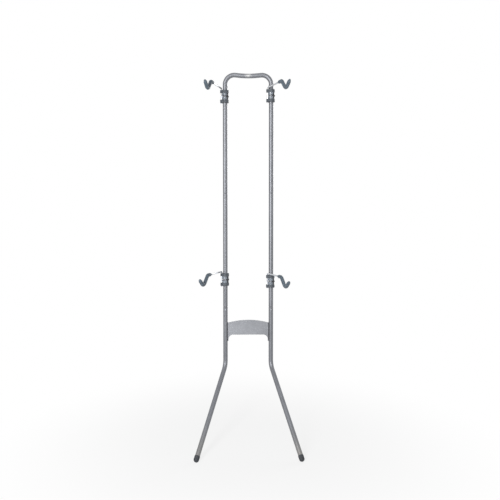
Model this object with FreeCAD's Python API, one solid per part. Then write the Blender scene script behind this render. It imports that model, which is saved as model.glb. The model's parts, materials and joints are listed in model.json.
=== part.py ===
"""Two tier rack: a tall tubular frame that leans on a wall and carries four swinging arms.

Millimetres. +X is to the right seen from the room, +Y towards the wall, +Z up. The origin is
on the floor, in the middle of the rack's width and depth.
"""
import FreeCAD
import Part
import math
import os

Vector = FreeCAD.Vector
UP = Vector(0, 0, 1)

# Overall sizes
overall_height = 2032.0         # floor to the top of the handle
overall_depth = 457.0           # wall to the front of the feet
post_stand_off = 75.0           # wall to the axes of the posts
post_spacing = 257.0            # between the axes of the two posts
foot_spacing = 532.0            # between the centres of the two foot caps

# Steel tube of the frame
tube_d = 25.4
tube_wall = 1.5
shoulder_radius = 52.0          # centreline of the bend from post to handle
handle_dip = 5.0                # how far the middle of the handle lies below its crests
handle_leg = 12.0               # straight tube below each shoulder, in the handle's own solid
knee_radius = 70.0              # centreline of the bend from post to leg
knee_height = 390.0             # where the axes of post and leg meet

# Joints between the storeys of the frame: a swaged spigot in a socket, held by a snap button
top_frame_length = 671.0        # top of the handle down to the upper seam
lower_seam_height = 721.0
spigot_length = 60.0
spigot_clearance = 0.1          # radial
swage_length = 5.0              # cone between the tube and its spigot
button_d = 7.0
button_crown_d = 2.8            # flat at the top of the button's dome
button_shoulder_d = 5.6         # half way up the dome
button_shoulder = 0.5           # below the top of the dome
button_edge = 1.5               # where the dome starts, below its top
button_proud = 2.5
button_drop = 14.0              # from the seam down to the button
button_clearance = 0.15         # radial, in both tubes
spring_width = 7.0
spring_thickness = 0.8
spring_length = 36.0            # straight part of each arm of the spring
spring_clearance = 0.05

# Brace plate between the upper ends of the legs
plate_thickness = 2.0
plate_side_gap = 0.2            # between a flange and the round side of its leg
plate_flange_depth = 18.0
plate_bend_radius = 2.0         # inside
plate_drop = 85.3               # lower seam to the crest of the top edge
plate_crown = 10.1              # rise of the top edge from the legs to its middle
plate_middle_depth = 70.1       # crest to the straight middle stretch of the bottom edge
plate_toe_drop = 35.6           # that stretch to the ends of the toes on the legs
plate_toe_width = 5.0
plate_sweep_radius = 25.5       # concave corner between waist and toe
plate_screw_d = 4.8
plate_screw_length = 9.0
plate_screw_head_d = 9.0
plate_screw_head_height = 2.8
plate_screw_head_rim = 1.26     # straight edge of the head, below its dome
plate_screw_crown_d = 5.4       # flat at the top of the head
plate_screw_top_inset = 15.6    # upper screw, below the plate's upper corner
plate_screw_toe_inset = 26.0    # lower screw, above the end of the toe
plate_screw_clearance = 0.15    # radial, in the flange

# Rubber foot caps
cap_wall = 1.3
cap_sleeve = 18.0               # over the tube, above the round end
cap_lip_chamfer = 0.6
cap_sole_depth = 1.0            # height of the flat sole on the round end
cap_clearance = 0.05            # radial, over the tube

# Rubber bumpers that rest on the wall, each pressed over a stud in the back of the tube
bumper_drop = 62.0              # top of the handle to the bumper's axis
bumper_root_d = 22.0
bumper_face_d = 26.0
bumper_edge = 1.5
bumper_saddle_gap = 0.1
stud_d = 10.0
stud_length = 20.0              # outside the tube
stud_head_d = 14.0
stud_head_height = 1.5
stud_head_clearance = 0.05      # head to the tube's inner wall
stud_clearance = 0.05           # radial, in the tube and in the bumper

# Clamps: two moulded collars on a spine
clamp_length = 70.0
collar_gap = 8.0                # bare post between the two skirts
post_clearance = 0.08           # radial, collar on post
rim_wall = 7.8                  # outside the post's surface
rim_height = 17.0
rim_chamfer = 1.2
skirt_wall = 5.3                # outside the post's surface
nose_d = 15.0
pivot_gap = 7.3                 # pivot axis to the post's surface
pivot_clearance = 0.06          # radial, arm in the noses
skirt_channel_clearance = 0.5   # radial, skirt round the arm's leg

# Spine of a clamp, a curved strap on the side away from the pivot
spine_rise = 5.8                # outer face to the post's surface
spine_post_gap = 0.4            # radial
spine_half_angle = 58.0         # degrees
spine_pocket_depth = 5.0        # into each rim
spine_pocket_clearance = 0.05
pin_d = 3.0
pin_length = 5.0
pin_inset = 0.3                 # below the rim's surface

# Locking screw in the middle of the spine
lock_screw_d = 5.0
lock_tip_gap = 0.3
lock_spot_depth = 0.6           # flat spot for the head
lock_head_d = 9.0
lock_head_height = 3.2
lock_spot_clearance = 0.3       # radial, round the head
lock_socket = 3.0               # across flats
lock_socket_depth = 2.0

# Arm, one bent steel rod; along the arm and up are measured from pivot axis and level run
rod_d = 8.0
elbow_radius = 8.0
rod_tail = 5.0                  # below the lower nose
rod_end_chamfer = 0.6
arm_reach = 235.0               # pivot axis to the bottom of the cradle
cradle_rear_length = 52.0       # neck to bottom, along the arm
cradle_front_length = 42.0      # bottom to front tip, along the arm
cradle_corner_depth = 54.0      # of the corner that the bottom bend rounds off
cradle_tip_depth = 16.0         # front tip below the level run
cradle_bend_radius = 24.0
neck_bend_radius = 20.0

# Soft cover over the cradle
cover_d = 19.0
cover_clearance = 0.05          # radial, on the rod
cover_tip_d = 5.0
cover_tip_neck_d = 11.0
cover_tip_length = 12.0         # cone at the front tip
cover_tip_nib = 4.0
cover_tip_overlap = 2.0         # cone beyond the end of the rod
cover_collar_d = 11.0
cover_collar_length = 14.0      # cone at the neck
cover_collar_run = 18.0         # full diameter on the level run

# Thrust collar and retaining clip of each arm
thrust_d = 14.0
thrust_thickness = 1.2
thrust_gap = 0.1                # above the upper nose
thrust_clearance = 0.02         # radial, on the rod
clip_d = 13.0
clip_thickness = 1.2
clip_gap = 0.3                  # below the lower nose
clip_opening = 5.0
groove_d = 6.4
groove_clearance = 0.05

# Where each clamp's lower end stands on its post, and how far its arm is turned
upper_left_drop = 167.0         # below the top of the handle
upper_right_drop = 161.5
lower_left_rise = 121.8         # above the lower seam
lower_right_rise = 111.2
upper_left_heading = -15.5      # degrees to the right of straight ahead
upper_right_heading = 21.0
lower_left_heading = -22.0
lower_right_heading = 21.0

# Worked out from the sizes above
tube_r = tube_d / 2
bore_r = tube_r - tube_wall
spigot_r = bore_r - spigot_clearance
spigot_bore_r = spigot_r - tube_wall
rod_r = rod_d / 2
cover_r = cover_d / 2
rim_r = tube_r + rim_wall
skirt_r = tube_r + skirt_wall
skirt_height = (clamp_length - collar_gap) / 2 - rim_height
spine_r = tube_r + spine_rise
pivot_offset = tube_r + pivot_gap
post_x = post_spacing / 2
foot_x = foot_spacing / 2
wall_y = overall_depth / 2
post_y = wall_y - post_stand_off
cap_r = tube_r + cap_clearance + cap_wall
foot_y = -overall_depth / 2 + cap_r
foot_z = cap_r - cap_sole_depth
handle_z = overall_height - tube_r
handle_foot_height = handle_z - shoulder_radius - handle_leg
upper_seam_height = overall_height - top_frame_length
bumper_height = overall_height - bumper_drop
plate_half = post_x - tube_r - plate_side_gap
plate_crest_height = lower_seam_height - plate_drop
plate_shoulder_height = plate_crest_height - plate_crown
plate_waist_height = plate_crest_height - plate_middle_depth
plate_toe_height = plate_waist_height - plate_toe_drop
plate_screw_heights = (plate_toe_height + plate_screw_toe_inset,
                       plate_shoulder_height - plate_screw_top_inset)
run_height = clamp_length + thrust_gap + thrust_thickness + elbow_radius

# Side of the rack, height of the clamp's lower end and heading of the arm
arm_stations = {
    "upper_left": (-1, overall_height - upper_left_drop, upper_left_heading),
    "upper_right": (1, overall_height - upper_right_drop, upper_right_heading),
    "lower_left": (-1, lower_seam_height + lower_left_rise, lower_left_heading),
    "lower_right": (1, lower_seam_height + lower_right_rise, lower_right_heading),
}


def bent_path(points, radii):
    """Wire through the points, with a tangent arc of the given radius at each inner one."""
    edges = []
    start = points[0]
    for corner, following, radius in zip(points[1:-1], points[2:], radii):
        before = (corner - start).normalize()
        after = (following - corner).normalize()
        half_turn = before.getAngle(after) / 2
        trim = radius * math.tan(half_turn)
        inward = (after - before).normalize()
        arc_start = corner - before * trim
        arc_end = corner + after * trim
        arc_middle = corner + inward * (radius / math.cos(half_turn) - radius)
        edges.append(Part.LineSegment(start, arc_start).toShape())
        edges.append(Part.Arc(arc_start, arc_middle, arc_end).toShape())
        start = arc_end
    edges.append(Part.LineSegment(start, points[-1]).toShape())
    return Part.Wire(edges)


def round_bar(path, radius):
    """Solid round bar along a wire."""
    first = path.OrderedEdges[0]
    start = first.valueAt(first.FirstParameter)
    heading = first.tangentAt(first.FirstParameter)
    profile = Part.Wire([Part.makeCircle(radius, start, heading)])
    return path.makePipeShell([profile], True, False)


def bent_tube(path):
    """Frame tube along a wire, open at both ends."""
    return round_bar(path, tube_r).cut(round_bar(path, bore_r))


def spin(outline, base, axis):
    """Turned solid from (radius, height) points, standing on base along axis."""
    face = Part.Face(Part.makePolygon([Vector(r, 0, z) for r, z in outline + outline[:1]]))
    solid = face.revolve(Vector(0, 0, 0), UP, 360)
    solid.Placement = FreeCAD.Placement(base, FreeCAD.Rotation(UP, axis))
    return solid


def rod_along(radius, start, direction, length):
    """Plain cylinder from a point along a direction."""
    return Part.makeCylinder(radius, length, start, direction)


def ring(inner_r, outer_r, bottom, height):
    """Flat ring round the Z axis."""
    outer = Part.makeCylinder(outer_r, height, Vector(0, 0, bottom))
    return outer.cut(Part.makeCylinder(inner_r, height, Vector(0, 0, bottom)))


def export(node, shape):
    """Write one sub-part under its own name."""
    shape.exportStep("parts/" + node + ".step")


# Frame

def swaged_end(x, seam):
    """Cone and spigot that carry a frame tube down into the socket below its seam."""
    outline = [
        (bore_r, swage_length), (tube_r, swage_length), (spigot_r, 0),
        (spigot_r, -spigot_length), (spigot_bore_r, -spigot_length), (spigot_bore_r, 0),
    ]
    return spin(outline, Vector(x, post_y, seam), UP)


def button_hole(x, seam, facing):
    """Drill for a snap button, through the room side (-1) or the wall side (+1) of a post."""
    start = Vector(x, post_y, seam - button_drop)
    return rod_along(button_d / 2 + button_clearance, start, Vector(0, facing, 0), tube_d)


def spring_half_span():
    """Half the outer width of a snap spring whose arms lie against the spigot's bore."""
    return math.sqrt(spigot_bore_r ** 2 - (spring_width / 2) ** 2) - spring_clearance


def snap_button(x, seam, facing):
    """Domed pin that stands on its spring and locks the spigot in the socket."""
    radius = button_d / 2
    root = spring_half_span()
    top = tube_r + button_proud
    outline = [(0, root), (radius, root), (radius, top - button_edge),
               (button_shoulder_d / 2, top - button_shoulder), (button_crown_d / 2, top), (0, top)]
    return spin(outline, Vector(x, post_y, seam - button_drop), Vector(0, facing, 0))


def snap_spring(x, seam):
    """U-shaped leaf spring inside the spigot, its bend downwards."""
    half = spring_half_span()
    top = seam - button_drop + button_d
    bend = top - spring_length

    def loop(reach):
        edges = [
            Part.LineSegment(Vector(0, reach, top), Vector(0, reach, bend)).toShape(),
            Part.Arc(Vector(0, reach, bend), Vector(0, 0, bend - reach),
                     Vector(0, -reach, bend)).toShape(),
            Part.LineSegment(Vector(0, -reach, bend), Vector(0, -reach, top)).toShape(),
            Part.LineSegment(Vector(0, -reach, top), Vector(0, reach, top)).toShape(),
        ]
        return Part.Face(Part.Wire(edges)).extrude(Vector(spring_width, 0, 0))

    spring = loop(half).cut(loop(half - spring_thickness))
    spring.translate(Vector(x - spring_width / 2, post_y, 0))
    return spring


def handle_path(bottom):
    """Centreline of the handle from a height up: one side, the shallow dip of the grip, the other."""
    half_span = post_x - shoulder_radius
    over_turn = 2 * math.atan(handle_dip / half_span)
    centre_z = handle_z - shoulder_radius

    def on_shoulder(side, angle):
        return Vector(side * (half_span - shoulder_radius * math.sin(angle)), post_y,
                      centre_z + shoulder_radius * math.cos(angle))

    def shoulder(side):
        quarter = math.pi / 2
        return [on_shoulder(side, angle) for angle in
                (-quarter, (over_turn - quarter) / 2, over_turn)]

    left = shoulder(-1)
    right = shoulder(1)
    middle = Vector(0, post_y, handle_z - handle_dip)
    edges = [
        Part.LineSegment(Vector(-post_x, post_y, bottom), left[0]).toShape(),
        Part.Arc(*left).toShape(),
        Part.Arc(left[2], middle, right[2]).toShape(),
        Part.Arc(*right[::-1]).toShape(),
        Part.LineSegment(right[0], Vector(post_x, post_y, bottom)).toShape(),
    ]
    return Part.Wire(edges)


def spigot_tube(x, seam, top):
    """Straight tube from a seam up to a height, with its spigot below the seam."""
    bottom = Vector(x, post_y, seam + swage_length)
    length = top - seam - swage_length
    tube = rod_along(tube_r, bottom, UP, length).cut(rod_along(bore_r, bottom, UP, length))
    return tube.fuse(swaged_end(x, seam))


def top_frame():
    """One tube bent into an inverted U, with a spigot at each lower end.

    It is three solids that meet end to end: the bent handle and the two straight sides.
    """
    handle = bent_tube(handle_path(handle_foot_height))
    sides = []
    for x in (-post_x, post_x):
        stud_hole = rod_along(stud_d / 2 + stud_clearance, Vector(x, post_y, bumper_height),
                              Vector(0, 1, 0), tube_d)
        handle = handle.cut(stud_hole)
        straight = spigot_tube(x, upper_seam_height, handle_foot_height)
        sides.append(straight.cut([stud_hole, button_hole(x, upper_seam_height, 1)]))
    return Part.makeCompound([handle] + sides)


def post(side):
    """Straight tube between the two seams: a socket above, a spigot below."""
    x = side * post_x
    tube = spigot_tube(x, lower_seam_height, upper_seam_height)
    return tube.cut([button_hole(x, upper_seam_height, 1), button_hole(x, lower_seam_height, -1)])


def foot_centre(side):
    """Centre of the round end of a foot cap, where the leg's tube ends."""
    return Vector(side * foot_x, foot_y, foot_z)


def leg(side):
    """Socket and straight upper end, then one bend that sends the leg out to its foot."""
    x = side * post_x
    points = [Vector(x, post_y, lower_seam_height), Vector(x, post_y, knee_height),
              foot_centre(side)]
    tube = bent_tube(bent_path(points, [knee_radius]))
    tube = tube.cut(button_hole(x, lower_seam_height, -1))
    for height in plate_screw_heights:
        tube = tube.cut(rod_along(plate_screw_d / 2, Vector(x, post_y, height),
                                  Vector(-side, 0, 0), tube_d))
    return tube


def foot_cap(side):
    """Rubber cap over the leg's end, round below, with a small flat sole on the floor."""
    outer = Part.makeCylinder(cap_r, cap_sleeve)
    lip = [edge for edge in outer.Edges if edge.BoundBox.ZMin > cap_sleeve / 2]
    outer = outer.makeChamfer(cap_lip_chamfer, lip).fuse(Part.makeSphere(cap_r))
    cap = outer.cut(Part.makeCylinder(tube_r + cap_clearance, 2 * cap_sleeve))
    centre = foot_centre(side)
    leg_axis = Vector(side * post_x, post_y, knee_height) - centre
    cap.Placement = FreeCAD.Placement(centre, FreeCAD.Rotation(UP, leg_axis))
    below_floor = Part.makeBox(4 * cap_r, 4 * cap_r, 2 * cap_r,
                               Vector(centre.x - 2 * cap_r, centre.y - 2 * cap_r, -2 * cap_r))
    return cap.cut(below_floor)


def wall_stud(side):
    """Headed stud through the back of the tube, its head inside."""
    shank_start = math.sqrt(bore_r ** 2 - (stud_head_d / 2) ** 2) - stud_head_clearance
    end = tube_r + stud_length
    outline = [(0, shank_start - stud_head_height), (stud_head_d / 2, shank_start - stud_head_height),
               (stud_head_d / 2, shank_start), (stud_d / 2, shank_start), (stud_d / 2, end), (0, end)]
    return spin(outline, Vector(side * post_x, post_y, bumper_height), Vector(0, 1, 0))


def wall_bumper(side):
    """Tapered rubber stand-off, saddled on the back of the tube and flat at the wall."""
    axis_point = Vector(side * post_x, post_y, bumper_height)
    face_r = bumper_face_d / 2
    outline = [(0, 0), (bumper_root_d / 2, 0), (bumper_root_d / 2, tube_r),
               (face_r, post_stand_off - bumper_edge), (face_r - bumper_edge, post_stand_off),
               (0, post_stand_off)]
    bumper = spin(outline, axis_point, Vector(0, 1, 0))
    bumper = bumper.cut(round_bar(handle_path(upper_seam_height), tube_r + bumper_saddle_gap))
    bore = rod_along(stud_d / 2 + stud_clearance, axis_point, Vector(0, 1, 0), tube_r + stud_length)
    pieces = bumper.cut(bore).Solids
    return max(pieces, key=lambda piece: piece.BoundBox.YMax)


# Brace plate

def plate_outline():
    """Front view: arched above, straight waist below, a toe down each leg."""
    toe_x = plate_half - plate_toe_width
    waist_x = toe_x - plate_sweep_radius
    sweep_z = plate_waist_height - plate_sweep_radius
    diagonal = plate_sweep_radius * math.sqrt(0.5)

    def line(*ends):
        return Part.LineSegment(*[Vector(x, 0, z) for x, z in ends]).toShape()

    def arc(*stations):
        return Part.Arc(*[Vector(x, 0, z) for x, z in stations]).toShape()

    def edge_half(side):
        corner = (side * plate_half, plate_shoulder_height)
        toe = (side * plate_half, plate_toe_height)
        toe_end = (side * toe_x, plate_toe_height)
        sweep_end = (side * toe_x, sweep_z)
        sweep_middle = (side * (waist_x + diagonal), sweep_z + diagonal)
        waist = (side * waist_x, plate_waist_height)
        return [line(corner, toe), line(toe, toe_end), line(toe_end, sweep_end),
                arc(sweep_end, sweep_middle, waist)]

    crown = arc((-plate_half, plate_shoulder_height), (0, plate_crest_height),
                (plate_half, plate_shoulder_height))
    waist_line = line((-waist_x, plate_waist_height), (waist_x, plate_waist_height))
    edges = [crown] + edge_half(1) + [waist_line] + edge_half(-1)
    return Part.Face(Part.Wire(Part.__sortEdges__(edges)))


def folded_block(half_width, bend_radius):
    """Block as deep as the flanges, with its two front upright edges rounded."""
    height = plate_crest_height - plate_toe_height
    block = Part.makeBox(2 * half_width, plate_flange_depth, height, Vector(-half_width, 0, 0))
    front = [edge for edge in block.Edges
             if edge.BoundBox.ZLength > height / 2 and edge.BoundBox.YMax < plate_flange_depth / 2]
    return block.makeFillet(bend_radius, front)


def brace_plate():
    """Folded sheet between the legs, with a flange turned back along each."""
    outer = folded_block(plate_half, plate_bend_radius + plate_thickness)
    inner = folded_block(plate_half - plate_thickness, plate_bend_radius)
    inner.translate(Vector(0, plate_thickness, 0))
    front_y = post_y - plate_flange_depth / 2
    sheet = outer.cut(inner)
    sheet.translate(Vector(0, front_y, plate_toe_height))
    outline = plate_outline().extrude(Vector(0, plate_flange_depth, 0))
    outline.translate(Vector(0, front_y, 0))
    plate = sheet.common(outline)
    for side in (-1, 1):
        for height in plate_screw_heights:
            plate = plate.cut(rod_along(plate_screw_d / 2 + plate_screw_clearance,
                                        Vector(side * post_x, post_y, height),
                                        Vector(-side, 0, 0), tube_d))
    return plate


def plate_screws(side):
    """Pan-head screws through one flange into the wall of its leg."""
    shank_r = plate_screw_d / 2
    head_r = plate_screw_head_d / 2
    outline = [(0, -plate_screw_length), (shank_r, -plate_screw_length), (shank_r, 0), (head_r, 0),
               (head_r, plate_screw_head_rim), (plate_screw_crown_d / 2, plate_screw_head_height),
               (0, plate_screw_head_height)]
    seat_x = side * (plate_half - plate_thickness)
    return Part.makeCompound([
        spin(outline, Vector(seat_x, post_y, height), Vector(-side, 0, 0))
        for height in plate_screw_heights
    ])


# Clamp, made round the post's axis with its lower end at zero

def nose_and_rim():
    """Rim of a collar with the nose that holds the arm's pivot, edges softened."""
    nose_r = nose_d / 2
    angle = math.acos((rim_r - nose_r) / pivot_offset)
    across = math.sin(angle)
    along = math.cos(angle)
    rim_back = Vector(-rim_r * along, rim_r * across, 0)
    rim_front = Vector(-rim_r * along, -rim_r * across, 0)
    nose_back = Vector(-pivot_offset - nose_r * along, nose_r * across, 0)
    nose_front = Vector(-pivot_offset - nose_r * along, -nose_r * across, 0)
    edges = [
        Part.Arc(rim_front, Vector(rim_r, 0, 0), rim_back).toShape(),
        Part.LineSegment(rim_back, nose_back).toShape(),
        Part.Arc(nose_back, Vector(-pivot_offset - nose_r, 0, 0), nose_front).toShape(),
        Part.LineSegment(nose_front, rim_front).toShape(),
    ]
    block = Part.Face(Part.Wire(edges)).extrude(Vector(0, 0, rim_height))
    level = [edge for edge in block.Edges if edge.BoundBox.ZLength < rim_chamfer]
    return block.makeChamfer(rim_chamfer, level)


def strap(inner_r, outer_r, half_angle, bottom, height):
    """Sector of a ring, centred on +X."""
    sector = Part.makeCylinder(outer_r, height, Vector(0, 0, bottom), UP, 2 * half_angle)
    sector.rotate(Vector(0, 0, 0), UP, -half_angle)
    return sector.cut(Part.makeCylinder(inner_r, height, Vector(0, 0, bottom)))


def lower_collar():
    """Rim, nose and skirt of the lower collar, cut out for post, arm, spine and pin."""
    skirt = Part.makeCylinder(skirt_r, skirt_height, Vector(0, 0, rim_height))
    channel = rod_along(rod_r + skirt_channel_clearance, Vector(-pivot_offset, 0, rim_height),
                        UP, skirt_height)
    pivot = rod_along(rod_r + pivot_clearance, Vector(-pivot_offset, 0, 0), UP, rim_height)
    collar = nose_and_rim().cut(pivot).fuse(skirt.cut(channel))
    pocket_half_angle = spine_half_angle + math.degrees(spine_pocket_clearance / spine_r)
    pocket = strap(tube_r, spine_r + spine_pocket_clearance, pocket_half_angle,
                   rim_height - spine_pocket_depth, skirt_height + spine_pocket_depth)
    bore = rod_along(tube_r + post_clearance, Vector(0, 0, 0), UP, clamp_length)
    return collar.cut([pocket, bore, pin_hole(pin_height())])


def upper_from_lower(shape):
    """Mirror image of a shape about the middle of the clamp's length."""
    return shape.mirror(Vector(0, 0, clamp_length / 2), UP)


def pin_height():
    """Height of the pin that holds the spine in the lower rim."""
    return rim_height - spine_pocket_depth / 2


def pin_hole(height):
    """Drill for a spine pin, in from the side of the rim."""
    start = Vector(rim_r - pin_inset - pin_length, 0, height)
    return rod_along(pin_d / 2, start, Vector(1, 0, 0), 2 * pin_length)


def spine_pins():
    """Two plain pins, one in each rim."""
    start = Vector(rim_r - pin_inset - pin_length, 0, pin_height())
    lower = rod_along(pin_d / 2, start, Vector(1, 0, 0), pin_length)
    return Part.makeCompound([lower, upper_from_lower(lower)])


def lock_seat():
    """Middle of the flat spot on the spine where the locking screw's head rests."""
    return Vector(spine_r - lock_spot_depth, 0, clamp_length / 2)


def spine():
    """Curved strap that ties the two collars together, drilled for screw and pins."""
    bottom = rim_height - spine_pocket_depth
    body = strap(tube_r + spine_post_gap, spine_r, spine_half_angle, bottom,
                 clamp_length - 2 * bottom)
    outward = Vector(1, 0, 0)
    thread = rod_along(lock_screw_d / 2, Vector(0, 0, clamp_length / 2), outward, 2 * spine_r)
    spot = rod_along(lock_head_d / 2 + lock_spot_clearance, lock_seat(), outward, spine_r)
    lower_pin = pin_hole(pin_height())
    return body.cut([thread, spot, lower_pin, upper_from_lower(lower_pin)])


def lock_screw():
    """Socket-head screw through the spine, its point just clear of the post."""
    seat = lock_seat()
    length = seat.x - tube_r - lock_tip_gap
    screw = rod_along(lock_screw_d / 2, seat, Vector(-1, 0, 0), length)
    screw = screw.fuse(rod_along(lock_head_d / 2, seat, Vector(1, 0, 0), lock_head_height))
    corner = lock_socket / 2 / math.cos(math.radians(30))
    points = [Vector(0, corner * math.cos(math.radians(60 * k)),
                     corner * math.sin(math.radians(60 * k))) for k in range(7)]
    socket = Part.Face(Part.makePolygon(points)).extrude(Vector(lock_socket_depth, 0, 0))
    socket.translate(seat + Vector(lock_head_height - lock_socket_depth, 0, 0))
    return screw.cut(socket)


# Arm, made round the pivot axis and pointing towards the room, its clamp's lower end at zero

def cradle_points():
    """Corners of the cradle's centreline: neck, bottom and front tip."""
    neck = Vector(0, -(arm_reach - cradle_rear_length), run_height)
    bottom = Vector(0, -arm_reach, run_height - cradle_corner_depth)
    tip = Vector(0, -(arm_reach + cradle_front_length), run_height - cradle_tip_depth)
    return [neck, bottom, tip]


def arm_rod():
    """Pivot leg, elbow, level run and cradle in one bent rod, grooved for its clip."""
    points = [Vector(0, 0, -rod_tail), Vector(0, 0, run_height)] + cradle_points()
    rod = round_bar(bent_path(points, [elbow_radius, neck_bend_radius, cradle_bend_radius]), rod_r)
    end = [edge for edge in rod.Edges if edge.BoundBox.ZMax < -rod_tail / 2
           and edge.BoundBox.ZLength < rod_end_chamfer]
    rod = rod.makeChamfer(rod_end_chamfer, end)
    groove_height = clip_thickness + groove_clearance
    return rod.cut(ring(groove_d / 2, rod_d, -clip_gap - groove_height, groove_height))


def cradle_cover():
    """Soft sleeve over the cradle, tapered at the neck and closed over the front tip."""
    neck, bottom, tip = cradle_points()
    heading = (tip - bottom).normalize()
    cone_start = tip - heading * (cover_tip_length - cover_tip_overlap)
    neck_trim = neck_bend_radius * math.tan((bottom - neck).getAngle(Vector(0, -1, 0)) / 2)
    rear = neck + Vector(0, neck_trim + cover_collar_run, 0)
    radii = [neck_bend_radius, cradle_bend_radius]
    cover = round_bar(bent_path([rear, neck, bottom, cone_start], radii), cover_r)
    nib_end = cover_tip_length + cover_tip_nib
    front_end = spin([(0, 0), (cover_r, 0), (cover_tip_neck_d / 2, cover_tip_length),
                      (cover_tip_d / 2, nib_end), (0, nib_end)], cone_start, heading)
    rear_end = spin([(0, 0), (cover_r, 0), (cover_collar_d / 2, cover_collar_length),
                     (0, cover_collar_length)], rear, Vector(0, 1, 0))
    past_rear = rear + Vector(0, 2 * cover_collar_length, 0)
    rod = round_bar(bent_path([past_rear, neck, bottom, tip], radii), rod_r + cover_clearance)
    return cover.fuse([front_end, rear_end]).cut(rod)


def thrust_collar():
    """Ring pressed on the rod, which carries the arm on the upper nose."""
    return ring(rod_r + thrust_clearance, thrust_d / 2, clamp_length + thrust_gap, thrust_thickness)


def pivot_clip():
    """Open retaining ring in the groove below the lower nose."""
    bottom = -clip_gap - clip_thickness
    clip = ring((groove_d + groove_clearance) / 2, clip_d / 2, bottom, clip_thickness)
    opening = Part.makeBox(clip_opening, clip_d, clip_thickness,
                           Vector(-clip_opening / 2, 0, bottom))
    return clip.cut(opening)


def export_frame():
    """The standing frame and all that is fixed to it."""
    export("top_frame", top_frame())
    export("brace_plate", brace_plate())
    for side, name in ((-1, "left"), (1, "right")):
        export("post_" + name, post(side))
        export("leg_" + name, leg(side))
        export("foot_cap_" + name, foot_cap(side))
        export("wall_stud_" + name, wall_stud(side))
        export("wall_bumper_" + name, wall_bumper(side))
        export("plate_screws_" + name, plate_screws(side))
        for level, seam, facing in (("upper", upper_seam_height, 1), ("lower", lower_seam_height, -1)):
            export("snap_button_" + level + "_" + name, snap_button(side * post_x, seam, facing))
            export("snap_spring_" + level + "_" + name, snap_spring(side * post_x, seam))


def export_arms():
    """Four equal sets of clamp and arm, each at its own height and angle."""
    collar = lower_collar()
    on_post = {"collar_lower": collar, "collar_upper": upper_from_lower(collar), "spine": spine(),
               "spine_pins": spine_pins(), "lock_screw": lock_screw()}
    on_pivot = {"arm_rod": arm_rod(), "cradle_cover": cradle_cover(),
                "thrust_collar": thrust_collar(), "pivot_clip": pivot_clip()}
    for name, (side, height, heading) in arm_stations.items():
        for piece, shape in on_post.items():
            placed = shape.copy()
            placed.translate(Vector(side * post_x, post_y, height))
            export(piece + "_" + name, placed)
        for piece, shape in on_pivot.items():
            placed = shape.copy()
            placed.rotate(Vector(0, 0, 0), UP, heading)
            placed.translate(Vector(side * post_x - pivot_offset, post_y, height))
            export(piece + "_" + name, placed)


os.makedirs("parts", exist_ok=True)
export_frame()
export_arms()
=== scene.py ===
"""Looks of the two tier rack: finishes, soft parts, small fittings, floor, light and camera."""
import json
import math

import bmesh
import bpy
from mathutils import Matrix, Vector


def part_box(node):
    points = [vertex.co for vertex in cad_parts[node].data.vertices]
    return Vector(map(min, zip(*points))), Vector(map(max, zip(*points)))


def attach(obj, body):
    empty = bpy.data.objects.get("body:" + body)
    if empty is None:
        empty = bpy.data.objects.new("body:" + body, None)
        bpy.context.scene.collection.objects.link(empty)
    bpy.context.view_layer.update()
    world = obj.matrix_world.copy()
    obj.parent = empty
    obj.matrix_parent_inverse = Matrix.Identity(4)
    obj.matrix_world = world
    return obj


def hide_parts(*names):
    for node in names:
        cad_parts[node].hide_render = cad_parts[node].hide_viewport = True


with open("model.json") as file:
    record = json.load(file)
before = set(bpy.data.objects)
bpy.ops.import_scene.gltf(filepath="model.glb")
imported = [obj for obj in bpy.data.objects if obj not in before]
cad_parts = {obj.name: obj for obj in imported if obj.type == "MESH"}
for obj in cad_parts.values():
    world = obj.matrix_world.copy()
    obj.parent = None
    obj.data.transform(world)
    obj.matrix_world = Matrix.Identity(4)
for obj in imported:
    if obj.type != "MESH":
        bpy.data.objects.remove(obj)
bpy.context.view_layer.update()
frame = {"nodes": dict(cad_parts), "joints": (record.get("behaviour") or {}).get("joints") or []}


# Frame tubes. Round steel tube, bent cold and powder coated in a silver grey with fine flake.
# The top frame, the middle posts and the legs plug into each other, and the coat is rubbed
# thin where the pieces slide together and where clamps pass. At the middle of the handle's dip
# hands polish the coat smoother, and a paler patch there is a painted highlight.

nodes = frame["nodes"]
sides = {"left": -1, "right": 1}


def srgb(red, green, blue):
    """Colour for a socket from its 0 to 255 parts."""
    def linear(part):
        part /= 255
        return part / 12.92 if part <= 0.04045 else ((part + 0.055) / 1.055) ** 2.4
    return (linear(red), linear(green), linear(blue), 1.0)


def start_finish(name, metallic=0.0, **sockets):
    """New material; returns it with its node tree, its shader and its place coordinates."""
    finish = bpy.data.materials.new(name)
    finish.use_nodes = True
    tree = finish.node_tree
    shader = tree.nodes["Principled BSDF"]
    shader.inputs["Metallic"].default_value = metallic
    for socket, value in sockets.items():
        shader.inputs[socket.replace("_", " ")].default_value = value
    place = tree.nodes.new("ShaderNodeTexCoord").outputs["Object"]
    return finish, tree, shader, place


def speckle(tree, place, spots, detail=4.0, stretch=(1, 1, 1)):
    """Noise with so many spots a metre, as a value that mostly lies from 0.3 to 0.7."""
    stretched = tree.nodes.new("ShaderNodeMapping")
    stretched.inputs["Scale"].default_value = stretch
    tree.links.new(place, stretched.inputs["Vector"])
    noise = tree.nodes.new("ShaderNodeTexNoise")
    noise.inputs["Scale"].default_value = spots
    noise.inputs["Detail"].default_value = detail
    tree.links.new(stretched.outputs["Vector"], noise.inputs["Vector"])
    return noise.outputs["Fac"]


def between(tree, value, low=0.3, high=0.7, to_low=0.0, to_high=1.0):
    """Ease a value that runs from low to high over to a new range, held at both ends."""
    node = tree.nodes.new("ShaderNodeMapRange")
    node.interpolation_type = "SMOOTHSTEP"
    for socket, number in (("From Min", low), ("From Max", high), ("To Min", to_low), ("To Max", to_high)):
        node.inputs[socket].default_value = number
    tree.links.new(value, node.inputs["Value"])
    return node.outputs["Result"]


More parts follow.
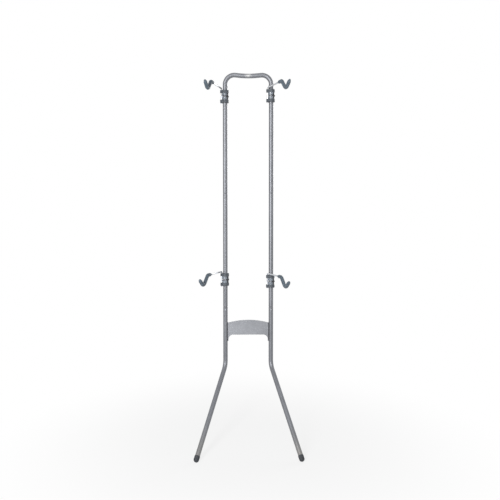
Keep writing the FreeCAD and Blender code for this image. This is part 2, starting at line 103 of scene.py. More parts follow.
def reckon(tree, kind, first, second=0.0):
    """Sum, product or the like of two values, either of which may be a plain number."""
    node = tree.nodes.new("ShaderNodeMath")
    node.operation = kind
    for socket, value in zip(node.inputs, (first, second)):
        if isinstance(value, (int, float)):
            socket.default_value = value
        else:
            tree.links.new(value, socket)
    return node.outputs["Value"]


def shade(tree, amount, under, over):
    """Colour that goes from under to over with the amount."""
    node = tree.nodes.new("ShaderNodeMix")
    node.data_type = "RGBA"
    factor, first, second, result = node.inputs[0], node.inputs[6], node.inputs[7], node.outputs[2]
    tree.links.new(amount, factor)
    for socket, value in ((first, under), (second, over)):
        if isinstance(value, tuple):
            socket.default_value = value
        else:
            tree.links.new(value, socket)
    return result


def scaled(tint, factor, lift=0.0):
    """Darker or paler tint."""
    return tuple(min(1.0, part * factor + lift) for part in tint[:3]) + (1.0,)


def rounded_normal(tree, radius):
    """Surface direction as if the edges were rounded to a radius, in metres."""
    node = tree.nodes.new("ShaderNodeBevel")
    node.samples = 4
    node.inputs["Radius"].default_value = radius
    return node.outputs["Normal"]


def worn_edges(tree, width):
    """Close to one on sharp edges, out to the width in metres, and zero on plain faces."""
    plain, sharp = 0.985, 0.86
    alike = tree.nodes.new("ShaderNodeVectorMath")
    alike.operation = "DOT_PRODUCT"
    tree.links.new(rounded_normal(tree, width), alike.inputs[0])
    tree.links.new(tree.nodes.new("ShaderNodeNewGeometry").outputs["Normal"], alike.inputs[1])
    return between(tree, alike.outputs["Value"], plain, sharp)


def raised(tree, shader, layers, soft_edge=0.0):
    """Bump from (height value, depth in metres) pairs, over an edge softened by the shader."""
    normal = rounded_normal(tree, soft_edge) if soft_edge else None
    for height, depth in layers:
        bump = tree.nodes.new("ShaderNodeBump")
        bump.inputs["Distance"].default_value = depth
        tree.links.new(height, bump.inputs["Height"])
        if normal is not None:
            tree.links.new(normal, bump.inputs["Normal"])
        normal = bump.outputs["Normal"]
    tree.links.new(normal, shader.inputs["Normal"])


def height_band(tree, place, middle, reach):
    """Close to one near a height, in metres, and zero beyond the reach."""
    split = tree.nodes.new("ShaderNodeSeparateXYZ")
    tree.links.new(place, split.inputs["Vector"])
    above = reckon(tree, "SUBTRACT", split.outputs["Z"], middle)
    return between(tree, reckon(tree, "ABSOLUTE", above), reach, 0.0)


def distance_from(tree, place, spot=(0, 0, 0), weights=(1, 1, 1)):
    """Distance in metres from a spot, with a weight for each axis."""
    from_spot = tree.nodes.new("ShaderNodeMapping")
    from_spot.inputs["Location"].default_value = [-part * weight for part, weight in zip(spot, weights)]
    from_spot.inputs["Scale"].default_value = weights
    tree.links.new(place, from_spot.inputs["Vector"])
    away = tree.nodes.new("ShaderNodeVectorMath")
    away.operation = "LENGTH"
    tree.links.new(from_spot.outputs["Vector"], away.inputs[0])
    return away.outputs["Value"]


def powder_coat(name, tint, seams=(), dust_height=0.0, bends=(), grip=None):
    """Silver powder coat: flake, clouds, orange peel, rubbed seams, floor dust, and a smoother spot with a
    painted highlight.
    """
    pale_flake, dark_flake, dust_tint = srgb(190, 193, 198), srgb(92, 95, 100), srgb(150, 146, 138)
    rubbed_tint, painted_highlight_tint = srgb(176, 176, 174), srgb(198, 198, 197)
    edge_width, seam_reach, bend_reach = 0.0012, 0.012, 0.008
    highlight_near, highlight_far, highlight_weights = 0.002, 0.026, (1, 1.4, 1.4)
    peel_depth, flake_depth = 0.00002, 0.000004
    finish, tree, shader, place = start_finish(name, metallic=0.7, Specular_IOR_Level=0.3,
                                               Coat_Weight=0.1, Coat_Roughness=0.22)
    clouds = speckle(tree, place, 9, 5)
    flake = speckle(tree, place, 2800, 2)
    peel = speckle(tree, place, 480, 3)
    scuffs = between(tree, speckle(tree, place, 60, 8, (1, 1, 0.25)), 0.62, 0.72)
    colour = shade(tree, between(tree, clouds), scaled(tint, 0.92), scaled(tint, 1.08))
    colour = shade(tree, between(tree, flake, 0.56, 0.72, 0.0, 0.32), colour, pale_flake)
    colour = shade(tree, between(tree, flake, 0.44, 0.3, 0.0, 0.3), colour, dark_flake)
    patches = between(tree, clouds, 0.38, 0.62, 0.2, 1.0)
    rubbed = reckon(tree, "MULTIPLY", worn_edges(tree, edge_width), patches)
    for bend in bends:
        joined = between(tree, height_band(tree, place, bend, bend_reach), 0.0, 0.3)
        rubbed = reckon(tree, "MULTIPLY", rubbed, reckon(tree, "SUBTRACT", 1.0, joined))
    for seam in seams:
        band = height_band(tree, place, seam, seam_reach)
        rubbed = reckon(tree, "MAXIMUM", rubbed, reckon(tree, "MULTIPLY", band, scuffs))
    colour = shade(tree, rubbed, colour, rubbed_tint)
    rough = between(tree, clouds, to_low=0.36, to_high=0.42)
    rough = reckon(tree, "ADD", rough, reckon(tree, "MULTIPLY", flake, 0.06))
    rough = reckon(tree, "ADD", rough, reckon(tree, "MULTIPLY", scuffs, 0.08))
    # Smoother where the handle is polished; the paler colour of that patch is a painted highlight
    if grip:
        near_highlight_spot = between(tree, distance_from(tree, place, grip, highlight_weights), highlight_far, highlight_near)
        streaks = between(tree, speckle(tree, place, 240, 6, (0.3, 1, 1)), 0.3, 0.6, 0.45, 0.9)
        polish_and_highlight = reckon(tree, "MULTIPLY", near_highlight_spot, streaks)
        colour = shade(tree, polish_and_highlight, colour, painted_highlight_tint)
        rough = reckon(tree, "SUBTRACT", rough, reckon(tree, "MULTIPLY", polish_and_highlight, 0.14))
    if dust_height:
        dusty = reckon(tree, "MULTIPLY", height_band(tree, place, 0.0, dust_height), clouds)
        colour = shade(tree, dusty, colour, dust_tint)
    tree.links.new(colour, shader.inputs["Base Color"])
    tree.links.new(rough, shader.inputs["Roughness"])
    raised(tree, shader, [(peel, peel_depth), (flake, flake_depth)])
    return finish


def dress(finish, *names):
    """Put a finish on whole CAD nodes."""
    for name in names:
        for slot in nodes[name].material_slots:
            slot.material = finish


tube_tint, dust_top = srgb(124, 126, 131), 0.16
seam_heights = (nodes["post_left"].bound_box[1][2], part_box("leg_left")[1].z)
tube_finish = powder_coat("silver_powder_coat", tube_tint, seam_heights, dust_top)
dress(tube_finish, *["%s_%s" % (piece, side) for piece in ("post", "leg") for side in sides])

post_y = sum(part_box("post_left")[corner].y for corner in (0, 1)) / 2
handle_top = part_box("top_frame")[1].z
shoulder_end = handle_top - 0.0767
# Spot for the polished patch and its painted highlight: the middle of the handle's dip, in front
middle_of_dip = (0.0, post_y - 0.0122, handle_top - 0.0162)
top_finish = powder_coat("silver_powder_coat_handled", tube_tint, seam_heights[:1],
                         bends=(shoulder_end,), grip=middle_of_dip)
dress(top_finish, "top_frame")


# Brace plate. Folded steel sheet in the same coat, a little paler, between the legs' upper
# ends. Its flanges lie along the legs, and its top edge is cut to a bold curve above them.

def finished_piece(name, build, finish, body, replaced, smooth=40, rounding=0):
    """Object from a mesh in place: smooth faces, finish, slot, body and the node it stands for."""
    mesh = bpy.data.meshes.new(name)
    build.to_mesh(mesh)
    build.free()
    piece = bpy.data.objects.new(name, mesh)
    bpy.context.scene.collection.objects.link(piece)
    mesh.shade_smooth()
    mesh.set_sharp_from_angle(angle=math.radians(smooth))
    if rounding:
        levels = piece.modifiers.new("rounding", "SUBSURF")
        levels.levels = levels.render_levels = rounding
    mesh.materials.append(finish)
    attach(piece, body)
    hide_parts(replaced)


plate_finish = powder_coat("plate_powder_coat", srgb(148, 150, 155))
plate_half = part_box("brace_plate")[1].x
curve_start, curve_full = 0.614, 0.6255
side_rise, middle_rise = 0.008, 0.006
plate = bmesh.new()
plate.from_mesh(nodes["brace_plate"].data)
bmesh.ops.remove_doubles(plate, verts=plate.verts, dist=1e-6)
for vert in plate.verts:
    if vert.co.z > curve_start:
        share = min(1.0, (vert.co.z - curve_start) / (curve_full - curve_start))
        vert.co.z += share * (side_rise + middle_rise * (1 - (vert.co.x / plate_half) ** 2))
finished_piece("curved_brace_plate", plate, plate_finish, "frame", "brace_plate", smooth=30)


# Plate screws. Zinc plated pan heads with a cross recess, driven through the flanges into the
# tube wall. Only the heads show, inside the fold of the plate.

def plated_steel(name, tint, roughness, pitted=0.6):
    """Bright plating with faint yellow and blue clouds, hairlines and darker pits."""
    pit_tint, hair_depth, soft_edge = srgb(112, 110, 106), 0.000004, 0.0002
    warm = (tint[0] * 1.04, tint[1], tint[2] * 0.93, 1.0)
    cool = (tint[0] * 0.94, tint[1] * 0.98, tint[2] * 1.05, 1.0)
    finish, tree, shader, place = start_finish(name, metallic=1.0)
    clouds = speckle(tree, place, 70, 4)
    hairs = speckle(tree, place, 1500, 6)
    pits = between(tree, speckle(tree, place, 900, 3), 0.31, 0.22, 0.0, pitted)
    colour = shade(tree, between(tree, clouds, 0.35, 0.65), warm, cool)
    tree.links.new(shade(tree, pits, colour, pit_tint), shader.inputs["Base Color"])
    rough = between(tree, hairs, 0.25, 0.75, roughness - 0.05, roughness + 0.07)
    rough = reckon(tree, "ADD", rough, reckon(tree, "MULTIPLY", pits, 0.2))
    tree.links.new(rough, shader.inputs["Roughness"])
    raised(tree, shader, [(hairs, hair_depth)], soft_edge)
    return finish


zinc_finish = plated_steel("zinc_plate", srgb(196, 198, 200), 0.3)
dress(zinc_finish, *["%s_%s" % (piece, side) for piece in ("plate_screws", "wall_stud") for side in sides])


def turned(build, outline, steps=48):
    """Spin (radius, height) points once round the Z axis into a skin."""
    corners = [build.verts.new((radius, 0, height)) for radius, height in outline]
    edges = [build.edges.new(pair) for pair in zip(corners, corners[1:])]
    bmesh.ops.spin(build, geom=corners + edges, cent=(0, 0, 0), axis=(0, 0, 1),
                   angle=math.tau, steps=steps, use_merge=True, use_duplicate=False)
    bmesh.ops.remove_doubles(build, verts=build.verts, dist=1e-6)
    bmesh.ops.recalc_face_normals(build, faces=build.faces)


def open_edges(build):
    """Edges with a face on one side only."""
    return [edge for edge in build.edges if edge.is_boundary]


def sunk(build, faces, deep):
    """Push faces of a flat top down by a depth; returns the new floor's faces and corners."""
    made = bmesh.ops.extrude_face_region(build, geom=faces)["geom"]
    bmesh.ops.delete(build, geom=[face for face in faces if face.is_valid], context="FACES")
    corners = [part for part in made if isinstance(part, bmesh.types.BMVert)]
    bmesh.ops.translate(build, vec=(0, 0, -deep), verts=corners)
    return [part for part in made if isinstance(part, bmesh.types.BMFace)], corners


def stood_at(build, place, outward):
    """Turn what stands on the origin along +Z to stand at a place, along a direction."""
    turn = Vector((0, 0, 1)).rotation_difference(Vector(outward)).to_matrix().to_4x4()
    bmesh.ops.transform(build, matrix=Matrix.Translation(place) @ turn, verts=build.verts)


pan_head_r, pan_head_h = 0.0045, 0.0028


def pan_head_screw(build):
    """Pan head on the origin with a cross recess, its shank below."""
    shank_r, length = 0.0024, 0.009
    arm_reach, arm_half, recess_deep, recess_taper = 0.0021, 0.00042, 0.0016, 0.6
    turned(build, [(0.0, -length), (shank_r * 0.7, -length), (shank_r, -length + 0.0012), (shank_r, 0.0),
                   (pan_head_r - 0.0002, 0.0), (pan_head_r, 0.0002), (pan_head_r, 0.0011),
                   (pan_head_r * 0.94, 0.0017), (pan_head_r * 0.8, 0.0023),
                   (pan_head_r * 0.62, 0.00265), (pan_head_r * 0.55, pan_head_h)])
    top = open_edges(build)
    cross = bmesh.ops.create_grid(build, x_segments=3, y_segments=3, size=arm_reach)["verts"]
    for vert in cross:
        for axis in (0, 1):
            if abs(vert.co[axis]) < arm_reach * 0.5:
                vert.co[axis] = math.copysign(arm_half, vert.co[axis])
        vert.co.z = pan_head_h
    blades = list(dict.fromkeys(face for vert in cross for face in vert.link_faces))
    corners = [face for face in blades
               if min(abs(face.calc_center_median()[axis]) for axis in (0, 1)) > arm_half]
    bmesh.ops.delete(build, geom=corners, context="FACES")
    rim = [edge for edge in open_edges(build) if edge not in top]
    bmesh.ops.bridge_loops(build, edges=top + rim)
    _, low = sunk(build, [face for face in blades if face.is_valid], recess_deep)
    bmesh.ops.scale(build, vec=(recess_taper, recess_taper, 1.0), space=Matrix.Identity(4), verts=low)
    bmesh.ops.recalc_face_normals(build, faces=build.faces)


low_corner, high_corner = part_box("plate_screws_left")
flange_x = high_corner.x - pan_head_h
screw_heights = (low_corner.z + pan_head_r, high_corner.z - pan_head_r)
for side, sign in sides.items():
    screws = bmesh.new()
    for height in screw_heights:
        # Each screw stops at a turn of its own
        stopped_at = Matrix.Rotation(0.6 + height * 40 + sign, 3, "Z")
        one = bmesh.new()
        pan_head_screw(one)
        bmesh.ops.rotate(one, cent=(0, 0, 0), matrix=stopped_at, verts=one.verts)
        stood_at(one, (-sign * flange_x, post_y, height), (-sign, 0, 0))
        part = bpy.data.meshes.new("one_screw")
        one.to_mesh(part)
        one.free()
        screws.from_mesh(part)
        bpy.data.meshes.remove(part)
    finished_piece("pan_screws_" + side, screws, zinc_finish, "frame",
                   "plate_screws_" + side, smooth=32)


# Snap buttons and their springs. Domed steel pins on a U-shaped leaf inside the spigot; they
# pop through the drilled socket and lock each joint of the frame.

spring_finish = plated_steel("spring_steel", srgb(120, 124, 132), 0.36)
button_finish = plated_steel("dull_button_steel", srgb(160, 162, 165), 0.42)
dome_h, dome_steps, root_chamfer = 0.0015, 9, 0.0003
for level, outward in (("upper", 1), ("lower", -1)):
    for side in sides:
        ending = "%s_%s" % (level, side)
        dress(spring_finish, "snap_spring_" + ending)
        low_corner, high_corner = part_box("snap_button_" + ending)
        button_r = (high_corner.x - low_corner.x) / 2
        length = high_corner.y - low_corner.y
        outline = [(0.0, 0.0), (button_r - root_chamfer, 0.0), (button_r, root_chamfer)]
        for step in range(dome_steps):
            angle = math.pi / 2 * step / dome_steps
            outline.append((button_r * math.cos(angle), length - dome_h * (1 - math.sin(angle))))
        outline.append((0.0, length))
        button = bmesh.new()
        turned(button, outline, 32)
        root = low_corner.y if outward > 0 else high_corner.y
        stood_at(button, ((low_corner.x + high_corner.x) / 2, root, (low_corner.z + high_corner.z) / 2),
                 (0, outward, 0))
        finished_piece("domed_button_" + ending, button, button_finish, "frame",
                       "snap_button_" + ending)


# Foot caps. Black rubber pushed over the ends of the legs, with four ribs round the sleeve.
# Each is round below, with a small flat sole and a shallow groove near its edge.

def rubber(name, tint, grain=900, sheen=0.0, roughness=0.62):
    """Moulded rubber: fine grain, greyed high spots, faint bloom."""
    edge_width, grain_depth, soft_edge = 0.001, 0.00006, 0.0004
    bloom = scaled(tint, 0.6, 0.16)
    finish, tree, shader, place = start_finish(name, Specular_IOR_Level=0.35, Sheen_Weight=sheen)
    clouds = speckle(tree, place, 55, 5)
    grit = speckle(tree, place, grain, 4)
    colour = shade(tree, between(tree, clouds), scaled(tint, 0.8), scaled(tint, 1.22, 0.004))
    colour = shade(tree, reckon(tree, "MULTIPLY", worn_edges(tree, edge_width), 0.5), colour, bloom)
    colour = shade(tree, between(tree, grit, 0.6, 0.75, 0.0, 0.22), colour, bloom)
    tree.links.new(colour, shader.inputs["Base Color"])
    rough = between(tree, clouds, to_low=roughness - 0.08, to_high=roughness + 0.1)
    tree.links.new(rough, shader.inputs["Roughness"])
    raised(tree, shader, [(grit, grain_depth)], soft_edge)
    return finish


cap_finish = rubber("cap_rubber", srgb(64, 67, 72))
cap_r, cap_bore_r, cap_sleeve, sole_cut = 0.01405, 0.01275, 0.018, 0.001
first_rib, rib_pitch, rib_count, rib_groove = 0.0012, 0.0034, 4, 0.0005
foot_x, post_x, knee_z = 0.266, 0.1285, 0.390
foot_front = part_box("foot_cap_left")[0].y
outline = [(cap_r * math.sin(math.radians(angle)), -cap_r * math.cos(math.radians(angle)))
           for angle in range(0, 90, 6)]
for rib in range(rib_count):
    start = first_rib + rib * rib_pitch
    outline += [(cap_r, start), (cap_r, start + 0.0019),
                (cap_r - rib_groove, start + 0.0023), (cap_r - rib_groove, start + 0.0029)]
outline += [(cap_r, cap_sleeve - 0.0026), (cap_r, cap_sleeve - 0.0007),
            (cap_r - 0.0003, cap_sleeve - 0.0002), (cap_r - 0.0007, cap_sleeve),
            (cap_bore_r + 0.0002, cap_sleeve), (cap_bore_r, cap_sleeve - 0.0003),
            (cap_bore_r, 0.0), (0.0, 0.0)]
for side, sign in sides.items():
    cap = bmesh.new()
    turned(cap, outline, 72)
    foot_centre = Vector((sign * foot_x, foot_front + cap_r, cap_r - sole_cut))
    stood_at(cap, foot_centre, Vector((sign * post_x, post_y, knee_z)) - foot_centre)
    cut = bmesh.ops.bisect_plane(cap, geom=cap.verts[:] + cap.edges[:] + cap.faces[:], plane_co=(0, 0, 0),
                                 plane_no=(0, 0, -1), clear_outer=True)["geom_cut"]
    rim = [edge for edge in cut if isinstance(edge, bmesh.types.BMEdge)]
    sole = bmesh.ops.contextual_create(cap, geom=rim)["faces"]
    for inset, lift in ((0.0012, 0.0), (0.0004, 0.0004), (0.0011, 0.0), (0.0004, -0.0004)):
        bmesh.ops.inset_region(cap, faces=sole, thickness=inset, depth=0)
        bmesh.ops.translate(cap, vec=(0, 0, lift), verts=sole[0].verts)
    bmesh.ops.recalc_face_normals(cap, faces=cap.faces)
    finished_piece("ribbed_foot_cap_" + side, cap, cap_finish, "frame",
                   "foot_cap_" + side, smooth=50)


# Wall bumpers. Black rubber stand-offs, slightly flared, with fine grooves round them. Each is
# saddled on the back of the tube and pressed over the headed stud that is fixed there.

tube_r, saddle_gap, saddle_lip = 0.0127, 0.0001, 0.0131
stud_bore_r, stud_bore_end, stud_head_r = 0.00505, 0.0332, 0.007
bumper_r, flare, groove_deep = 0.011, 0.002, 0.0006
first_ring, ring_pitch, ring_count = 0.0225, 0.0075, 6
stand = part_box("wall_bumper_left")[1].y - post_y
bumper_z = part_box("wall_stud_left")[0].z + stud_head_r
outline = [(0.0, stud_bore_end), (stud_bore_r, stud_bore_end), (stud_bore_r, tube_r),
           (0.0108, tube_r), (bumper_r, saddle_lip)]
for ring in range(ring_count):
    start = first_ring + ring * ring_pitch
    outer = bumper_r + flare * (start - tube_r) / (stand - tube_r)
    outline += [(outer, start), (outer - groove_deep, start + 0.0007),
                (outer - groove_deep, start + 0.0016), (outer, start + 0.0023)]
outline += [(0.01295, stand - 0.0018), (0.0127, stand - 0.0008), (0.012, stand - 0.0002), (0.0113, stand),
            (0.0082, stand), (0.0078, stand - 0.0006), (0.0052, stand - 0.0006), (0.0048, stand),
            (0.0, stand)]
for side, sign in sides.items():
    bumper = bmesh.new()
    turned(bumper, outline)
    seat = [vert for vert in bumper.verts if vert.co.z < (saddle_lip + first_ring) / 2]
    stood_at(bumper, (sign * post_x, post_y, bumper_z), (0, 1, 0))
    for vert in seat:
        round_tube = math.sqrt((tube_r + saddle_gap) ** 2 - (vert.co.x - sign * post_x) ** 2)
        vert.co.y = post_y + round_tube + (vert.co.y - post_y - tube_r)
    finished_piece("ringed_bumper_" + side, bumper, cap_finish, "frame",
                   "wall_bumper_" + side, smooth=50)


# Clamps. Two collars of a blue grey nylon on each post, tied by a black steel spine. Rims and
# noses have the mould's fine spark texture; the skirts between them are smooth and glossy.

def collar_nylon(name, post_x, skirt_r):
    """Glass filled nylon, textured on rims and noses and smooth on the skirts round a post."""
    rim_tint, skirt_tint = srgb(87, 93, 100), srgb(126, 136, 147)
    pale = scaled(rim_tint, 0.6, 0.2)
    skirt_near, skirt_far = skirt_r + 0.0002, skirt_r + 0.0006
    edge_width, spark_depth, soft_edge = 0.0008, 0.00003, 0.0005
    finish, tree, shader, place = start_finish(name, Specular_IOR_Level=0.5, Coat_Roughness=0.12)
    clouds = speckle(tree, place, 40, 5)
    spark = speckle(tree, place, 1300, 3)
    fibres = speckle(tree, place, 380, 6, (1, 1, 3))
    facing = tree.nodes.new("ShaderNodeSeparateXYZ")
    tree.links.new(tree.nodes.new("ShaderNodeNewGeometry").outputs["Normal"], facing.inputs["Vector"])
    upright = between(tree, reckon(tree, "ABSOLUTE", facing.outputs["Z"]), 0.5, 0.3)
    from_post = distance_from(tree, place, (post_x, post_y, 0), (1, 1, 0))
    skirt = reckon(tree, "MULTIPLY", upright, between(tree, from_post, skirt_far, skirt_near))
    not_skirt = reckon(tree, "SUBTRACT", 1.0, skirt)
    tint = shade(tree, skirt, rim_tint, skirt_tint)
    darker = shade(tree, skirt, scaled(rim_tint, 0.86), scaled(skirt_tint, 0.9))
    colour = shade(tree, between(tree, clouds), darker, tint)
    colour = shade(tree, reckon(tree, "MULTIPLY", worn_edges(tree, edge_width), 0.5), colour, pale)
    colour = shade(tree, between(tree, fibres, 0.64, 0.74, 0.0, 0.25), colour, pale)
    tree.links.new(colour, shader.inputs["Base Color"])
    textured = between(tree, spark, to_low=0.44, to_high=0.62)
    smooth = between(tree, clouds, to_low=0.2, to_high=0.28)
    rough = reckon(tree, "MULTIPLY", textured, not_skirt)
    rough = reckon(tree, "ADD", rough, reckon(tree, "MULTIPLY", smooth, skirt))
    tree.links.new(rough, shader.inputs["Roughness"])
    tree.links.new(reckon(tree, "MULTIPLY", skirt, 0.8), shader.inputs["Coat Weight"])
    raised(tree, shader, [(reckon(tree, "MULTIPLY", spark, not_skirt), spark_depth)], soft_edge)
    return finish


stations = ("upper_left", "upper_right", "lower_left", "lower_right")
collar_skirt_r = 0.018
for side, sign in sides.items():
    collar_finish = collar_nylon("collar_nylon_" + side, sign * post_x, collar_skirt_r)
    dress(collar_finish, *["collar_%s_%s" % (end, station) for end in ("lower", "upper")
                           for station in stations if station.endswith(side)])


def black_coat(name, tint):
    """Thin black coat on steel, worn to metal on its edges."""
    bare_steel, edge_width, nick_depth, soft_edge = srgb(150, 150, 150), 0.0006, 0.00003, 0.0003
    finish, tree, shader, place = start_finish(name)
    clouds = speckle(tree, place, 60, 5)
    nicks = speckle(tree, place, 260, 6)
    edge = reckon(tree, "MULTIPLY", worn_edges(tree, edge_width), between(tree, nicks, 0.4, 0.6))
    base = shade(tree, between(tree, clouds), tint, scaled(tint, 1.5))
    tree.links.new(shade(tree, edge, base, bare_steel), shader.inputs["Base Color"])
    tree.links.new(edge, shader.inputs["Metallic"])
    tree.links.new(between(tree, clouds, to_low=0.32, to_high=0.46), shader.inputs["Roughness"])
    raised(tree, shader, [(nicks, nick_depth)], soft_edge)
    return finish


spine_finish = black_coat("black_coat", srgb(38, 40, 44))
dress(spine_finish, *["spine_" + station for station in stations])
dress(zinc_finish, *["spine_pins_" + station for station in stations])


# Locking screws. Knurled socket heads in the middle of each spine; tightened, the point bears
# on the post and holds the clamp at its height. Blackened steel.

screw_finish = black_coat("blackened_screw", srgb(62, 63, 66))
socket_head_r, socket_head_h, socket_top_r = 0.0045, 0.0032, 0.0022
knurls, knurl_cut = 36, 0.955
hexagon_half, socket_deep, drill_point = 0.0015, 0.002, 0.0005


def socket_screw(build):
    """Knurled head on the origin with a hexagon socket, its shank and point below."""
    shank_r, length, chamfer = 0.0025, 0.0049, 0.0006
    turned(build, [(0.0, -length), (shank_r - chamfer, -length), (shank_r, -length + chamfer),
                   (shank_r, 0.0), (socket_head_r - 0.0003, 0.0), (socket_head_r, 0.0003),
                   (socket_head_r, socket_head_h - 0.0005), (socket_head_r - 0.0005, socket_head_h),
                   (socket_top_r, socket_head_h)], 2 * knurls)
    for vert in build.verts:
        step = round(math.atan2(vert.co.y, vert.co.x) * knurls / math.pi)
        if vert.co.xy.length > socket_head_r * 0.98 and step % 2:
            vert.co.xy *= knurl_cut
    top = open_edges(build)
    hexagon = bmesh.ops.create_circle(build, cap_ends=True, segments=6,
                                      radius=hexagon_half / math.cos(math.pi / 6))["verts"]
    bmesh.ops.translate(build, vec=(0, 0, socket_head_h), verts=hexagon)
    bottom = [face for vert in hexagon for face in vert.link_faces][:1]
    bmesh.ops.bridge_loops(build, edges=top + list(bottom[0].edges))
    floor_of_socket, _ = sunk(build, bottom, socket_deep)
    point = bmesh.ops.poke(build, faces=floor_of_socket)["verts"]
    bmesh.ops.translate(build, vec=(0, 0, -drill_point), verts=point)
    bmesh.ops.recalc_face_normals(build, faces=build.faces)


for station in stations:
    low_corner, high_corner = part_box("lock_screw_" + station)
    seat = (high_corner.x - socket_head_h, post_y, (low_corner.z + high_corner.z) / 2)
    screw = bmesh.new()
    socket_screw(screw)
    stood_at(screw, seat, (1, 0, 0))
    finished_piece("locking_screw_" + station, screw, screw_finish, "clamp_" + station,
                   "lock_screw_" + station, smooth=30)


# Arms. Bright plated steel rod, bent to a pivot leg, a level run and a V-shaped cradle. Each
# turns in the noses of its two collars, and a thrust collar and an open clip keep it there.

rod_finish = plated_steel("bright_rod", srgb(206, 208, 211), 0.24, pitted=0.2)
dress(rod_finish, *["arm_rod_" + station for station in stations])
dress(zinc_finish, *["thrust_collar_" + station for station in stations])
dress(spring_finish, *["pivot_clip_" + station for station in stations])


# Cradle covers. Soft blue grey sleeves moulded over the rod where the load lies, with a rolled
# lip at the mouth, a swelling neck, the mould's parting line and a closed, tapered tip.
# Their sizes are in millimetres.

cover_finish = rubber("cover_rubber", srgb(92, 104, 115), grain=700, sheen=0.1, roughness=0.55)
headings = dict(zip(stations, (-15.5, 21.0, -22.0, 21.0)))
pivots = {joint["child"].replace("arm_", ""): Vector(joint["pos_m"])
          for joint in frame["joints"] if joint["type"] == "hinge"}
mouth_y, level_z, bore_r, cover_r = -147.0, 79.3, 4.05, 9.5
elbow_r, elbow_back, vee_r, tip_length = 20.0, 8.506, 24.0, 10.0
fall_along, fall_drop, climb_along, climb_rise = 52, 54, 42, 38
parting_width, parting_rise, lip_reach, on_middle = 0.35, 0.22, 4.6, 0.001
# (length, radius) steps: into the bore and over the rolled lip, up the neck, and to the elbow
lip = ((-4.1, bore_r), (-0.35, 4.3), (-0.05, 4.9), (0.35, 5.3),
       (0.6, 5.5), (0.7, 5.5), (0.6, 5.2), (0.5, 5.1))
neck = ((0.6, 5.7), (2.0, 6.4), (2.6, 7.2), (2.6, 8.0),
        (2.2, 8.7), (2.0, 9.2), (2.0, 9.45), (2.0, cover_r))
to_elbow = ((7.746, cover_r), (8.0, cover_r))
# and along the tapered tip to its blunt nib
tip = ((1.6, 9.3), (2.4, 8.65), (3.4, 7.6), (3.2, 6.45), (1.4, 5.6), (0.6, 5.0),
       (0.9, 4.4), (1.0, 3.7), (0.8, 2.9), (0.45, 2.0), (0.2, 1.0))


class Sleeve:
    """Skin that grows ring by ring from a mouth, along straight runs and round bends.

    It lies in the YZ plane. Each ring is scaled to its radius, so that the skin swells.
    """

    def __init__(self, build, mouth, centre, heading, radius):
        self.build = build
        self.ring = mouth
        self.centre = centre
        self.heading = heading
        self.radius = radius

    def corners(self):
        return list(dict.fromkeys(vert for edge in self.ring for vert in edge.verts))

    def run(self, steps):
        """Straight (length, radius) steps, one ring each."""
        for length, radius in steps:
            made = bmesh.ops.extrude_edge_only(self.build, edges=self.ring)["geom"]
            self.ring = [part for part in made if isinstance(part, bmesh.types.BMEdge)
                         and all(vert in made for vert in part.verts)]
            bmesh.ops.translate(self.build, vec=self.heading * length, verts=self.corners())
            self.centre = self.centre + self.heading * length
            by = radius / self.radius
            bmesh.ops.scale(self.build, vec=(by, by, by), space=Matrix.Translation(-self.centre),
                            verts=self.corners())
            self.radius = radius

    def even_run(self, length, steps):
        """Straight stretch of the same radius in so many steps."""
        self.run([(length / steps, self.radius)] * steps)

    def bend(self, radius, degrees, steps):
        """Round a bend, upwards where the angle is positive."""
        away = Vector((0, -self.heading.z, self.heading.y)) * -math.copysign(radius, degrees)
        hub = self.centre + away
        turn = Matrix.Rotation(-math.radians(degrees), 4, "X")
        made = bmesh.ops.spin(self.build, geom=self.ring, cent=hub, axis=(1, 0, 0),
                              angle=-math.radians(degrees), steps=steps, use_duplicate=False)["geom_last"]
        self.ring = [part for part in made if isinstance(part, bmesh.types.BMEdge)]
        self.centre = hub + turn @ (self.centre - hub)
        self.heading = turn @ self.heading


def cradle_sleeve():
    """Sleeve round a rod that lies along -Y from the pivot, in millimetres."""
    mouth = Vector((0, mouth_y, level_z))
    fall = math.degrees(math.atan2(fall_drop, fall_along))
    climb = math.degrees(math.atan2(climb_rise, climb_along))
    vee_back = vee_r * math.tan(math.radians(fall + climb) / 2)
    build = bmesh.new()
    circle = bmesh.ops.create_circle(build, segments=40, radius=bore_r)["verts"]
    bmesh.ops.rotate(build, cent=(0, 0, 0), matrix=Matrix.Rotation(math.pi / 2, 3, "X"), verts=circle)
    bmesh.ops.translate(build, vec=mouth, verts=circle)
    sleeve = Sleeve(build, list(build.edges), mouth, Vector((0, -1, 0)), bore_r)
    sleeve.run(lip + neck + to_elbow)
    sleeve.bend(elbow_r, -fall, 8)
    sleeve.even_run(math.hypot(fall_along, fall_drop) - elbow_back - vee_back, 5)
    sleeve.bend(vee_r, fall + climb, 16)
    sleeve.even_run(math.hypot(climb_along, climb_rise) - vee_back - tip_length, 3)
    sleeve.run(tip)
    bmesh.ops.contextual_create(build, geom=sleeve.ring)
    bmesh.ops.recalc_face_normals(build, faces=build.faces)
    # Parting line of the mould, a fine bead along the middle of the outside
    outside = [edge for edge in build.edges
               if all(abs(vert.co.x) < on_middle and (vert.co - mouth).length > lip_reach
                      for vert in edge.verts)]
    lines = bmesh.ops.bevel(build, geom=outside, offset=parting_width, segments=2, profile=0.5,
                            affect="EDGES", material=-1)["verts"]
    build.normal_update()
    for vert in [vert for vert in lines if vert.is_valid and abs(vert.co.x) < on_middle]:
        vert.co += vert.normal * parting_rise
    return build


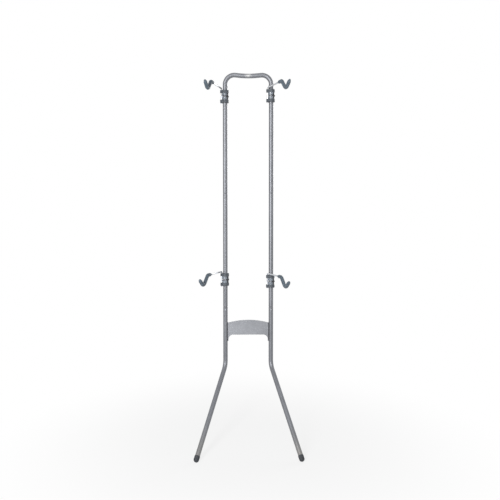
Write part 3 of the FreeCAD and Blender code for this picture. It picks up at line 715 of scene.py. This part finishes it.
for station, heading in headings.items():
    cover = cradle_sleeve()
    bmesh.ops.scale(cover, vec=(0.001, 0.001, 0.001), verts=cover.verts)
    turned_to = Matrix.Rotation(math.radians(heading), 4, "Z")
    bmesh.ops.transform(cover, matrix=Matrix.Translation(pivots[station]) @ turned_to, verts=cover.verts)
    finished_piece("tapered_sleeve_" + station, cover, cover_finish, "arm_" + station,
                   "cradle_cover_" + station, smooth=60, rounding=1)


# Floor, light and camera. A pale plain floor that keeps the rack's soft shadow, in a white
# surround. Lamps: a large soft one in front on the left, a weak wide one overhead, a small one
# above the camera, and one at the back on the right.

def looked_at(tree):
    """One for rays from the eye, straight or by way of metal or glass, and zero for light."""
    ray = tree.nodes.new("ShaderNodeLightPath")
    seen = reckon(tree, "MAXIMUM", ray.outputs["Is Camera Ray"], ray.outputs["Is Glossy Ray"])
    return reckon(tree, "MAXIMUM", seen, ray.outputs["Is Transmission Ray"])


def mixed(tree, amount, under, over, output):
    """Send the mix of two shaders, from under to over, to the surface of an output node."""
    mix = tree.nodes.new("ShaderNodeMixShader")
    for value, socket in zip((amount, under.outputs[0], over.outputs[0]), mix.inputs):
        tree.links.new(value, socket)
    tree.links.new(mix.outputs[0], tree.nodes[output].inputs["Surface"])


floor_r, shadow_r, white_r, shadow_white = 4.0, 0.2, 1.5, 0.8
floor_finish, tree, shader, place = start_finish("pale_floor", Roughness=0.75, Specular_IOR_Level=0.1,
                                                 Base_Color=(0.93, 0.93, 0.93, 1.0))
whiter = between(tree, distance_from(tree, place), shadow_r, white_r, shadow_white, 1.0)
white = tree.nodes.new("ShaderNodeEmission")
mixed(tree, reckon(tree, "MULTIPLY", looked_at(tree), whiter), shader, white, "Material Output")
floor_build = bmesh.new()
bmesh.ops.create_circle(floor_build, cap_ends=True, segments=96, radius=floor_r)
floor_mesh = bpy.data.meshes.new("floor")
floor_build.to_mesh(floor_mesh)
floor_build.free()
floor = bpy.data.objects.new("floor", floor_mesh)
bpy.context.scene.collection.objects.link(floor)
floor.data.materials.append(floor_finish)

world = bpy.data.worlds.new("pale_surround")
bpy.context.scene.world = world
world.use_nodes = True
for_light = world.node_tree.nodes["Background"]
as_seen = world.node_tree.nodes.new("ShaderNodeBackground")
for background, strength in ((for_light, 0.2), (as_seen, 1.0)):
    background.inputs["Color"].default_value = (1.0, 1.0, 1.0, 1.0)
    background.inputs["Strength"].default_value = strength
mixed(world.node_tree, looked_at(world.node_tree), for_light, as_seen, "World Output")


def soft_lamp(name, place, target, width, height, power):
    """Area lamp at a place, turned to its target."""
    data = bpy.data.lights.new(name, "AREA")
    data.shape = "RECTANGLE"
    data.size = width
    data.size_y = height
    data.energy = power
    lamp = bpy.data.objects.new(name, data)
    lamp.location = place
    lamp.rotation_euler = (Vector(target) - Vector(place)).to_track_quat("-Z", "Y").to_euler()
    bpy.context.scene.collection.objects.link(lamp)


soft_lamp("front_left_lamp", (-1.2, -3.1, 1.7), target=(0, 0, 1.3), width=0.7, height=2.4, power=86)
soft_lamp("overhead_lamp", (0.0, -0.4, 4.2), target=(0, 0, 0), width=3.0, height=3.0, power=4)
soft_lamp("small_lamp", (0.0, -3.2, 2.8), target=(0, 0, 1.8), width=0.3, height=0.3, power=6)
soft_lamp("rear_lamp", (2.2, 3.0, 2.4), target=(0, 0, 1.0), width=1.2, height=2.0, power=40)

tipped_down, turned_right = 2.157, 0.967
camera_data = bpy.data.cameras.new("camera")
camera_data.sensor_width = 36.0
camera_data.lens = 40.4
camera_data.shift_y = -0.04
camera = bpy.data.objects.new("camera", camera_data)
camera.location = (-0.0428, -3.0, 1.2754)
camera.rotation_euler = (math.radians(90 - tipped_down), 0, math.radians(-turned_right))
bpy.context.scene.collection.objects.link(camera)
bpy.context.scene.camera = camera
bpy.context.scene.view_settings.view_transform = "Standard"
